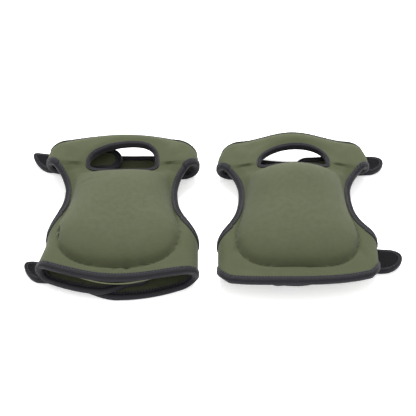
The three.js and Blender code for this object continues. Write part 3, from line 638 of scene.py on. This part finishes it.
def closed_section(thickness):
    """A folded tape round a sheet: (out, depth) points of its closed section, with its two lips alike."""
    half = thickness / 2
    over = [(o, d * (half / SECTION_HALF if d > 0 else 1)) for o, d in OUTER_SECTION]
    under = [(o, d * (half / SECTION_HALF if d > 0 else 1)) for o, d in INNER_SECTION]

    def flip(part):
        return [(o, thickness - d) for o, d in part]

    return np.array(over + flip(over[:-1])[::-1] + flip(under)[::-1] + under[1:])


def stitch_template():
    rings = [(-1, 0.12), (-0.8, 0.75), (-0.3, 1), (0.3, 1), (0.8, 0.75), (1, 0.12)]
    sides = 6
    turn = np.linspace(0, 2 * math.pi, sides, endpoint=False)
    points = np.array([(t, r * math.cos(a), r * math.sin(a)) for t, r in rings for a in turn])
    faces = [
        (i * sides + j, i * sides + (j + 1) % sides, (i + 1) * sides + (j + 1) % sides, (i + 1) * sides + j)
        for i in range(len(rings) - 1)
        for j in range(sides)
    ]
    return points, np.array(faces)


STITCH_POINTS, STITCH_FACES = stitch_template()
STITCH_PITCH, STITCH_LENGTH, STITCH_RADIUS = 3.3, 2.5, 0.38


def add_stitches(shape, form, path, closed, out, depth, slot=1, soften=6):
    """A row of separate stitches along a path, `out` of the panel's edge, half sunk at `depth`."""
    fine = even(path, 0.8, closed)
    line = fine + outwards(fine, closed, soften) * out
    spots = even(line, STITCH_PITCH, closed)
    if not closed:
        spots = spots[1:-1]
    ahead = np.gradient(spots, axis=0)
    ahead /= np.linalg.norm(ahead, axis=1)[:, None]
    half = ahead * STITCH_LENGTH / 2
    sunk = depth(*spots.T) if callable(depth) else depth
    before, after = (form.at(*(spots + k * half).T, sunk) for k in (-1, 1))
    middle = (before + after) / 2
    tangent = (after - before) / np.linalg.norm(after - before, axis=1)[:, None]
    up = form.at(*spots.T, sunk - 1) - form.at(*spots.T, sunk)
    up -= (up * tangent).sum(1)[:, None] * tangent
    up /= np.linalg.norm(up, axis=1)[:, None]
    across = np.cross(tangent, up)
    t, b, c = STITCH_POINTS.T
    points = (
        middle[:, None]
        + tangent[:, None] * (t * STITCH_LENGTH / 2 * MM)[None, :, None]
        + across[:, None] * (b * STITCH_RADIUS * MM)[None, :, None]
        + up[:, None] * (c * STITCH_RADIUS * MM)[None, :, None]
    )
    n = len(STITCH_POINTS)
    faces = STITCH_FACES[None] + (np.arange(len(spots)) * n)[:, None, None]
    shape.add(points, np.zeros(3), faces.reshape(-1, 4), slot)


def tape_shape(form, path, closed=False, thickness=SHEET, fit=None, narrow=1.0):
    """A folded tape along a path, with its two rows of stitches on each face."""
    path = even(path, TAPE_STEP, closed)
    direction = outwards(path, closed, 8)
    section = closed_section(thickness) * [narrow, 1]
    along = np.arange(len(path)) * TAPE_STEP
    ripple = 0.12 * np.sin(along / 3.1) + 0.1 * np.sin(along / 1.7 + 1.3) + 0.12 * np.sin(along / 7.7 + 0.5)
    rings, cloth, rub = [], [], []
    for out, depth in section:
        wavy = ripple * (1 if out < 0 else 0.3)
        spot = path + direction * (out + wavy * (0.25 if out < 0.8 - BINDING_WIDTH else 0))[:, None]
        if fit:
            spot = fit(spot)
        facing = -1 if depth < thickness / 2 else 1
        proud = wavy * facing * (0.6 if abs(depth - thickness / 2) > thickness / 2 else 0)
        rings.append(form.at(*spot.T, depth + proud))
        cloth.append(
            np.column_stack([along, np.full(len(path), out + depth), np.full(len(path), depth)])
        )
        # The tape's nose and lips, marked for the painted highlight in the tape's material.
        rub.append(np.full(len(path), max(0.0, (out + 0.5) / 2.9) + (0.4 if out < 0.4 - BINDING_WIDTH else 0)))
    m, k = len(section), len(path)
    points = np.stack(rings, 1).reshape(-1, 3)
    i, j = np.meshgrid(np.arange(k if closed else k - 1), np.arange(m), indexing="ij")
    i, j = i.ravel(), j.ravel()
    ahead, beside = (i + 1) % k, (j + 1) % m
    faces = np.stack([i * m + j, i * m + beside, ahead * m + beside, ahead * m + j], 1)
    shape = Shape()
    shape.add(points, np.stack(cloth, 1).reshape(-1, 3), faces, 0, np.stack(rub, 1).ravel())
    if not closed:
        for k0, order in ((0, 1), (k - 1, -1)):
            shape.faces.append([k0 * m + j for j in range(m)][::order])
            shape.slots.append(0)
    for out in (-4.8, -3.2) if narrow > 0.7 else (-4.5,):
        for depth in (-1.2, thickness + 1.2):
            add_stitches(shape, form, path, closed, out * narrow, depth)
    return shape


def bend_with(obj, form, level, long):
    """Bakes a wing's placement into its mesh. The fold's start, its edges and their lowest height are worked
    out but not used.
    """
    start = form.fold_start(long, WAIST_Y)
    edges = [inner_edge(level == "upper", start), form.front_edge(level == "upper")(start)]
    lowest = min(float(form.fold_height(edge) - form.curl(start, edge)) for edge in edges)
    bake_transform(obj)


def declare(obj, slot, *nodes):
    if nodes:
        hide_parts(*nodes)
    return obj


# ---- Outlines of the panels ----
def waist_path(form, side):
    """Round the knee cut-out between the two folds of its side, the panel on its left."""
    limits = []
    for upper in (False, True):
        u = form.crossing(side < 0, lambda place: inner_edge(upper, place))
        limits.append((1 if upper else -1) * math.acos((CUT_CENTRE - u) / CUT_DEPTH))
    angle = np.linspace(*limits, 90)
    reach = np.where(angle > 0, CUT_UP, CUT_DOWN)
    path = np.stack([side * (CUT_CENTRE - CUT_DEPTH * np.cos(angle)), WAIST_Y + reach * np.sin(angle)], 1)
    return path if side > 0 else path[::-1]


def edge_path(form, upper):
    edge = form.front_edge(upper)
    u = np.linspace(-form.crossing(True, edge), form.crossing(False, edge), 120)
    path = np.stack([u, edge(u)], 1)
    return path[::-1] if upper else path


def fold_line(form, side, low, high, step):
    """Points along the start of a fold, between two places along the leg, ends left out."""
    count = max(2, int(abs(high - low) / step))
    v = np.linspace(low, high, count + 1)[1:-1]
    return np.stack([side * form.fold_start(side < 0, v), v], 1)


def moved(path, out, step, closed=False):
    line = even(path, step, closed)
    return line + outwards(line, closed, 2) * out


UNDER_TAPE = -1.0  # how far the panel's edge lies inside the folded tape


def front_outline(form, step):
    hem, top = (moved(edge_path(form, upper), UNDER_TAPE, step) for upper in (False, True))
    right, left = (moved(waist_path(form, side), UNDER_TAPE, step) for side in (1, -1))
    parts = [hem, fold_line(form, 1, hem[-1][1], right[0][1], step), right]
    parts += [fold_line(form, 1, right[-1][1], top[0][1], step), top]
    parts += [fold_line(form, -1, top[-1][1], left[0][1], step), left]
    parts += [fold_line(form, -1, left[-1][1], hem[0][1], step)]
    return np.concatenate(parts)


class Wing:
    """A band of cloth from the side fold to its rounded end under the pad."""

    def __init__(self, form, level, long):
        self.form, self.level, self.long = form, level, long
        self.upper, self.side = level == "upper", -1 if long else 1
        self.out = 1 if self.upper else -1
        if long:
            self.end_x, self.middle = LONG_END, form.upper_tab if self.upper else form.lower_tab
            self.half = UPPER_TAB_HALF if self.upper else form.lower_half
        else:
            self.end_x, self.half = SHORT_ENDS[level]
            self.middle = form.short_end if self.upper else LOWER_SHORT_Y
        self.finish = float(form.under(long, self.end_x))
        self.cap = LONG_CAP if long else SHORT_CAP
        self.narrows = float(form.under(long, 0 if long else self.end_x + SHORT_NARROWS))
        self.squareness = 4 if long else 2

    def edges(self, u):
        form = self.form
        on_front = form.front_edge(self.upper)(self.side * np.minimum(u, HALF_WIDTH))
        on_floor = form.lip_edge(self.upper, form.place_of(self.long, u))
        turned = smooth(unit(u, form.bend_start(self.long), form.bend_end(self.long)))
        narrow = smooth(unit(u, self.narrows, self.finish - self.cap))
        lowered = form.sunk(form.place_of(self.long, u)) * turned if self.upper else 0
        inner = inner_edge(self.upper, u) - lowered
        inner = lerp(inner, self.middle - self.out * self.half, narrow)
        return inner, lerp(lerp(on_front, on_floor, turned), self.middle + self.out * self.half, narrow)

    def path(self):
        """From the fold along the outer edge, round the end and back, with the panel on the left."""
        form, straight_end = self.form, self.finish - self.cap
        outer_from = form.crossing(self.long, form.front_edge(self.upper))
        inner_from = form.crossing(self.long, lambda u: inner_edge(self.upper, u))
        u_out, u_in = (np.linspace(start, straight_end, 130) for start in (outer_from, inner_from))
        inner, outer = (float(v) for v in self.edges(straight_end))
        angle = np.linspace(math.pi / 2, -math.pi / 2, 50)[1:-1]
        power = 2 / self.squareness
        v = (inner + outer) / 2 + (outer - inner) / 2 * signed_power(np.sin(angle), power)
        round_u = straight_end + self.cap * signed_power(np.cos(angle), power)
        path = np.concatenate([
            np.stack([u_out, self.edges(u_out)[1]], 1),
            np.stack([round_u, v], 1),
            np.stack([u_in, self.edges(u_in)[0]], 1)[::-1],
        ]) * [self.side, 1]
        return path[::-1] if self.out * self.side > 0 else path


def wing_outline(form, wing, step):
    edge = moved(wing.path(), UNDER_TAPE, step)
    return np.concatenate([edge, fold_line(form, wing.side, edge[-1][1], edge[0][1], step)])


# ---- The front ----
GROOVE_DEPTH, GROOVE_HALF, SEAM_SHOWS_BELOW = 2.2, 2.2, -52
COVER_GRID, PANEL_GRID = 2.2, 3.0


def crease(x, y, start, finish, half, rise):
    """A ridge or a fold from one place to another, that runs out at both ends."""
    line = finish - start
    length = np.linalg.norm(line)
    ahead, beside = line / length, np.array([-line[1], line[0]]) / length
    along = ((x - start[0]) * ahead[0] + (y - start[1]) * ahead[1]) / length
    off = (x - start[0]) * beside[0] + (y - start[1]) * beside[1]
    return rise * bump(2 * along - 1) * np.exp(-((off / half) ** 2))


def cover_detail(form, x, y):
    """What sewing and slack do to the cover's height: the groove along the cushion's seam, and the creases."""
    share = pillow_share(x, y)
    off_seam = (share - 1) * PILLOW_HALF
    low = smooth(unit(y, PILLOW_TOP, PILLOW_Y))
    height = -GROOVE_DEPTH * (0.1 + 0.9 * low) * np.exp(-((off_seam / GROOVE_HALF) ** 2))
    for start, finish, half, rise in form.creases:
        height = height + crease(x, y, np.array(start), np.array(finish), half, rise)
    return height


def cover_rise(form, x, y):
    """The detail again, run out before the side folds."""
    return cover_detail(form, x, y) * smooth(unit(form.fold_start(x < 0, y) - np.abs(x), 0, 8))


def add_seam_stitches(shape, form):
    """The cushion's seam shows its stitches round the lower third, but for a gap near the middle."""
    path = pillow_path(1.0, 900)
    low = path[:, 1] < SEAM_SHOWS_BELOW
    for part in (path[low & (path[:, 0] < form.seam_gap[0])], path[low & (path[:, 0] > form.seam_gap[1])]):
        add_stitches(shape, form, part, False, 0, lambda x, y: -cover_rise(form, x, y) - 0.05)


def front_cover(form):
    outline = front_outline(form, COVER_GRID)
    hole = moved(aperture_path(form.arch_shift), UNDER_TAPE, COVER_GRID, True)
    flat, triangles = triangulate([outline, hole], COVER_GRID)
    x, y = flat.T
    rise = cover_rise(form, x, y)
    outer, inner = form.at(x, y, -rise), form.at(x, y, COVER - rise)
    # On the cover this is wear only, highest on the cushion's crown.
    rub = fullness(x, y) ** 2
    shape = sheet_shape(flat, triangles, outer, inner, rub)
    add_seam_stitches(shape, form)
    obj = shape.make(form.prefix + "_front_cover_knit", [MATERIALS["olive_neoprene"], OLIVE_THREAD])
    declare(obj, "olive_neoprene", form.prefix + "_front_cover")
    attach(obj, form.prefix + "_front")


def lining_drop(form, x, y):
    """Extra depth of the leg lining, which sags in the mouth of the sleeve."""
    mouth = form.hem_y + 10
    return form.lining_sag * bump(x / 62) * bump((y - mouth) / 20)


def leg_lining(form):
    outline = front_outline(form, PANEL_GRID)
    hole = moved(aperture_path(form.arch_shift), UNDER_TAPE, PANEL_GRID, True)
    flat, triangles = triangulate([outline, hole], PANEL_GRID)
    x, y = flat.T
    raised = PILLOW_RISE * fullness(x, y)
    top = COVER + GAP + raised + PILLOW_INSIDE * fullness(x, y) + lining_drop(form, x, y)
    shape = sheet_shape(flat, triangles, form.at(x, y, top), form.at(x, y, top + LINING), 0, -3)
    obj = shape.make(form.prefix + "_leg_lining_knit", [MATERIALS["green_lining"]])
    declare(obj, "green_lining", form.prefix + "_leg_lining")
    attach(obj, form.prefix + "_front")


def foam_layer(form, name, low, high, slot, node):
    """A slice of the cushion between two shares of its thickness, rounded off at its rim."""
    flat, triangles = triangulate([pillow_path(FOAM_SHARE, 150)], PANEL_GRID)
    x, y = flat.T
    raised = PILLOW_RISE * fullness(x, y)
    floor = COVER + GAP + raised + PILLOW_INSIDE * fullness(x, y)
    space = floor - COVER - 2 * GAP
    rim = np.sqrt(np.maximum(0, 1 - (pillow_share(x, y) / FOAM_SHARE) ** 8))
    middle, half = (low + high) / 2, (high - low) / 2 - 0.01
    bottom, top = (floor - GAP - space * (middle + k * half * (0.3 + 0.7 * rim)) for k in (-1, 1))
    shape = sheet_shape(flat, triangles, form.at(x, y, top), form.at(x, y, bottom))
    obj = shape.make(form.prefix + "_" + name, [MATERIALS[slot]], 80)
    declare(obj, slot, form.prefix + "_" + node)
    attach(obj, form.prefix + "_front")


def front_tapes(form):
    def within(spot):
        most = form.fold_start(spot[:, 0] < 0, spot[:, 1])
        return np.column_stack([np.clip(spot[:, 0], -most, most), spot[:, 1]])

    paths = {
        "hem_binding": (edge_path(form, False), False),
        "top_binding": (edge_path(form, True), False),
        "inner_waist_binding": (waist_path(form, -1), False),
        "outer_waist_binding": (waist_path(form, 1), False),
        "aperture_binding": (aperture_path(form.arch_shift), True),
    }
    narrow = {"aperture_binding": 0.6, "inner_waist_binding": 0.85, "outer_waist_binding": 0.85}
    for node, (path, closed) in paths.items():
        shape = tape_shape(form, path, closed, fit=within, narrow=narrow.get(node, 1.0))
        obj = shape.make(f"{form.prefix}_{node}_tape", [MATERIALS["binding_tape"], TAPE_THREAD])
        declare(obj, "binding_tape", f"{form.prefix}_{node}")
        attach(obj, form.prefix + "_front")


# ---- Wings, tabs and fastening tapes ----
def wing_pieces(form, level, long):
    wing = Wing(form, level, long)
    name = f"{form.prefix}_{level}_{'long' if long else 'short'}"
    flat, triangles = triangulate([wing_outline(form, wing, PANEL_GRID)], PANEL_GRID)
    u, v = flat.T
    shape = sheet_shape(flat, triangles, form.at(u, v, 0), form.at(u, v, SHEET))
    obj = shape.make(name + "_wing_knit", [MATERIALS["olive_neoprene"]])
    declare(obj, "olive_neoprene", name + "_wing", name + "_fold")
    bend_with(obj, form, level, long)
    tape = tape_shape(form, wing.path())
    obj = tape.make(name + "_wing_binding_tape", [MATERIALS["binding_tape"], TAPE_THREAD])
    declare(obj, "binding_tape", name + "_wing_binding")
    bend_with(obj, form, level, long)
    return wing


def rounded_box_shape(form, u_range, v_range, side, depths, corner=3.0, grid=2.0):
    (u0, u1), (v0, v1) = u_range, v_range
    turn = np.linspace(0, math.pi / 2, 6)
    loop = []
    for k, (cu, cv) in enumerate(((u1 - corner, v1 - corner), (u0 + corner, v1 - corner),
                                  (u0 + corner, v0 + corner), (u1 - corner, v0 + corner))):
        for a in turn + k * math.pi / 2:
            loop.append((cu + corner * math.cos(a), cv + corner * math.sin(a)))
    loop = even(np.array(loop), grid, True) * [side, 1]
    flat, triangles = triangulate([loop], grid)
    u, v = flat.T
    return sheet_shape(flat, triangles, form.at(u, v, depths[0]), form.at(u, v, depths[1]))


def strip_piece(form, wing, x_range, depths, slot, name, node):
    """Fastening tape sewn flat on a wing between its bindings."""
    u = np.sort([float(form.under(wing.long, x)) for x in x_range])
    ends = np.array([wing.edges(min(q, wing.finish - wing.cap)) for q in u], float)
    inset = BINDING_WIDTH + 1 + STRIP_MARGIN
    low, high = ends.min(1).max() + inset, ends.max(1).min() - inset
    shape = rounded_box_shape(form, u, (low, high), wing.side, depths)
    obj = shape.make(name, [MATERIALS[slot], TAPE_THREAD])
    declare(obj, slot, node)
    return obj


def tab_path(form, wing, end, inset=0.0):
    """Round a tab from the wing's end to its tip and back."""
    inner, outer = (float(v) for v in wing.edges(wing.finish))
    middle = (inner + outer) / 2
    half = abs(outer - inner) / 2 + BINDING_NOSE - inset
    straight = max(TAB_START + inset + 1, end - half - inset)
    reach = end - inset - straight
    turn = np.linspace(-math.pi / 2, math.pi / 2, 60)
    tip = np.stack([straight + reach * np.cos(turn), middle + half * np.sin(turn)], 1)
    root = LONG_END - 2.5 if inset < 3 else TAB_START + 2
    low = np.stack([np.linspace(root, straight, 12)[:-1], np.full(11, middle - half)], 1)
    high = low[::-1] * [1, -1] + [0, 2 * middle]
    path = np.concatenate([low, tip, high])
    skew = form.upper_skew if wing.upper else form.lower_skew
    along = np.maximum(0, path[:, 0] - LONG_END)
    narrowed = 1 - form.taper * smooth(along / (end - LONG_END))
    path[:, 1] = middle + (path[:, 1] - middle) * narrowed + skew * along**2 / (along + TAB_EASE)
    return path


def in_pattern(form, path):
    """(x, v) places under the pad on the long side, as places on the flat pattern."""
    return np.stack([-form.under(True, path[:, 0]), path[:, 1]], 1)


def tab_pieces(form, wing):
    p, level = form.prefix, wing.level
    end = form.upper_tab_end if wing.upper else form.lower_tab_end
    body = f"{p}_{level}_tab"
    outline = in_pattern(form, tab_path(form, wing, end - 2.0, 2.0))
    flat, triangles = triangulate([even(outline, 2.0, True)], 2.0)
    u, v = flat.T
    shape = sheet_shape(flat, triangles, form.at(u, v, 0.5), form.at(u, v, TAB_THICKNESS))
    obj = shape.make(f"{p}_{level}_hook_tab_web", [MATERIALS["hook_tape"]])
    declare(obj, "binding_tape", f"{p}_{level}_hook_tab")
    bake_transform(obj)
    edge = in_pattern(form, tab_path(form, wing, end - BINDING_NOSE, BINDING_NOSE))
    tape = tape_shape(form, edge[::-1], thickness=TAB_THICKNESS, narrow=0.55)
    obj = tape.make(f"{p}_{level}_hook_tab_tape", [MATERIALS["binding_tape"], TAPE_THREAD])
    declare(obj, "binding_tape")
    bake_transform(obj)
    hook_face(form, wing, end, body)


def hook_face(form, wing, end, body):
    """The hook patch of a tab: a woven ground under rows of small hooks."""
    p, level = form.prefix, wing.level
    loop = even(in_pattern(form, tab_path(form, wing, end, 4.6)), 2.0, True)
    flat, triangles = triangulate([loop], 2.0)
    u, v = flat.T
    face = TAB_THICKNESS + GAP
    shape = sheet_shape(flat, triangles, form.at(u, v, face - 0.3), form.at(u, v, face + 0.5))
    low, high = loop.min(0) + 1, loop.max(0) - 1
    pitch = 1.7
    us, vs = np.meshgrid(np.arange(low[0], high[0], pitch), np.arange(low[1], high[1], pitch))
    spots = np.stack([us.ravel(), vs.ravel()], 1)
    spots = spots[inside(spots, [loop])]
    arc = np.linspace(0, math.radians(215), 6)
    radius, wire = 0.55, 0.16
    sides = np.linspace(0, 2 * math.pi, 4, endpoint=False)
    faces = [
        (i * 4 + j, i * 4 + (j + 1) % 4, (i + 1) * 4 + (j + 1) % 4, (i + 1) * 4 + j)
        for i in range(5)
        for j in range(4)
    ]
    ring = []
    for a in arc:
        for t in sides:
            r = radius + wire * math.cos(t)
            ring.append((-r * math.cos(a) + radius, wire * math.sin(t), r * math.sin(a)))
    ring = np.array(ring)
    u = (spots[:, None, 0] + ring[None, :, 0]).ravel()
    v = (spots[:, None, 1] + ring[None, :, 1]).ravel()
    d = np.broadcast_to(face + 0.5 + ring[None, :, 2], (len(spots), len(ring))).ravel()
    all_faces = np.array(faces)[None] + (np.arange(len(spots)) * len(ring))[:, None, None]
    shape.add(form.at(u, v, d), np.zeros(3), all_faces.reshape(-1, 4), 1)
    obj = shape.make(f"{p}_{level}_hook_face", [MATERIALS["hook_tape"], MATERIALS["hook_tape"]])
    declare(obj, "hook_tape", f"{p}_{level}_hook_patch")
    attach(obj, body)


def make_pad(form):
    p = form.prefix
    foam_layer(form, "memory_foam_soft", 0, 1 - FIRM_SHARE, "memory_foam", "memory_foam_layer")
    foam_layer(form, "firm_foam_core", 1 - FIRM_SHARE, 1, "firm_foam", "firm_foam_cushion")
    front_cover(form)
    leg_lining(form)
    front_tapes(form)
    for level in ("upper", "lower"):
        long_wing = wing_pieces(form, level, True)
        short_wing = wing_pieces(form, level, False)
        tab_pieces(form, long_wing)
        strip = (HOOK_STRIP_START, LONG_END - 11)
        hooks = (SHEET + GAP, SHEET + GAP + HOOK)
        names = f"{p}_{level}_hook_strip_web", f"{p}_{level}_hook_strip"
        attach(strip_piece(form, long_wing, strip, hooks, "hook_tape", *names), p + "_back")
        patch = (LOOP_PATCH_END - LOOP_PATCH, LOOP_PATCH_END)
        loops = (-GAP / 2 - LOOP, -GAP / 2)
        names = f"{p}_{level}_loop_patch_pile", f"{p}_{level}_loop_patch"
        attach(strip_piece(form, short_wing, patch, loops, "loop_tape", *names), f"{p}_{level}_short")


# ---- Studio ----
def area_light(name, place, aim, size, watts, colour=(1, 1, 1)):
    data = bpy.data.lights.new(name, "AREA")
    data.shape, data.size, data.energy, data.color = "DISK", size, watts, colour
    light = bpy.data.objects.new(name, data)
    light.location = place
    light.rotation_euler = (Vector(aim) - Vector(place)).to_track_quat("-Z", "Y").to_euler()
    bpy.context.scene.collection.objects.link(light)


def studio():
    n = Nodes("pale_floor_paper")
    place = n.add("TexCoord").outputs["Object"]
    slow = n.noise(place, 3, 3)
    tone = n.mix(slow, (0.93, 0.93, 0.93, 1), (0.95, 0.95, 0.95, 1))
    n.finish(tone, n.noise(place, 400, 2), 0.0001, 0.1, 0.9)
    n.shader.inputs["Emission Color"].default_value = (1, 1, 1, 1)
    n.shader.inputs["Emission Strength"].default_value = 0.4
    bpy.ops.mesh.primitive_plane_add(size=14)
    floor = bpy.context.object
    floor.name = "floor"
    floor.data.materials.append(n.material)
    world = bpy.data.worlds.new("soft_white")
    world.use_nodes = True
    world.node_tree.nodes["Background"].inputs["Color"].default_value = (1, 1, 1, 1)
    world.node_tree.nodes["Background"].inputs["Strength"].default_value = 1.2
    bpy.context.scene.world = world
    area_light("overhead_softbox", (0, 1.0, 1.7), (0, 0, 0), 1.2, 58)
    area_light("front_fill", (-0.9, -1.7, 1.3), (0, 0, 0), 1.2, 5)
    bpy.context.scene.view_settings.view_transform = "Standard"


def camera(forms):
    aim = Vector((sum(f.x for f in forms) / 2, sum(f.y for f in forms) / 2, 18)) * MM
    data = bpy.data.cameras.new("camera")
    data.lens, data.sensor_width = 128, 36
    cam = bpy.data.objects.new("camera", data)
    distance, elevation = 1.7, math.radians(45)
    cam.location = aim + distance * Vector((0, -math.cos(elevation), math.sin(elevation)))
    cam.rotation_euler = (aim - cam.location).to_track_quat("-Z", "Y").to_euler()
    bpy.context.scene.collection.objects.link(cam)
    bpy.context.scene.camera = cam


forms = [Form("right", 1, RIGHT_SLACK), Form("left", -1, LEFT_SLACK)]
for form in forms:
    make_pad(form)
studio()
camera(forms)
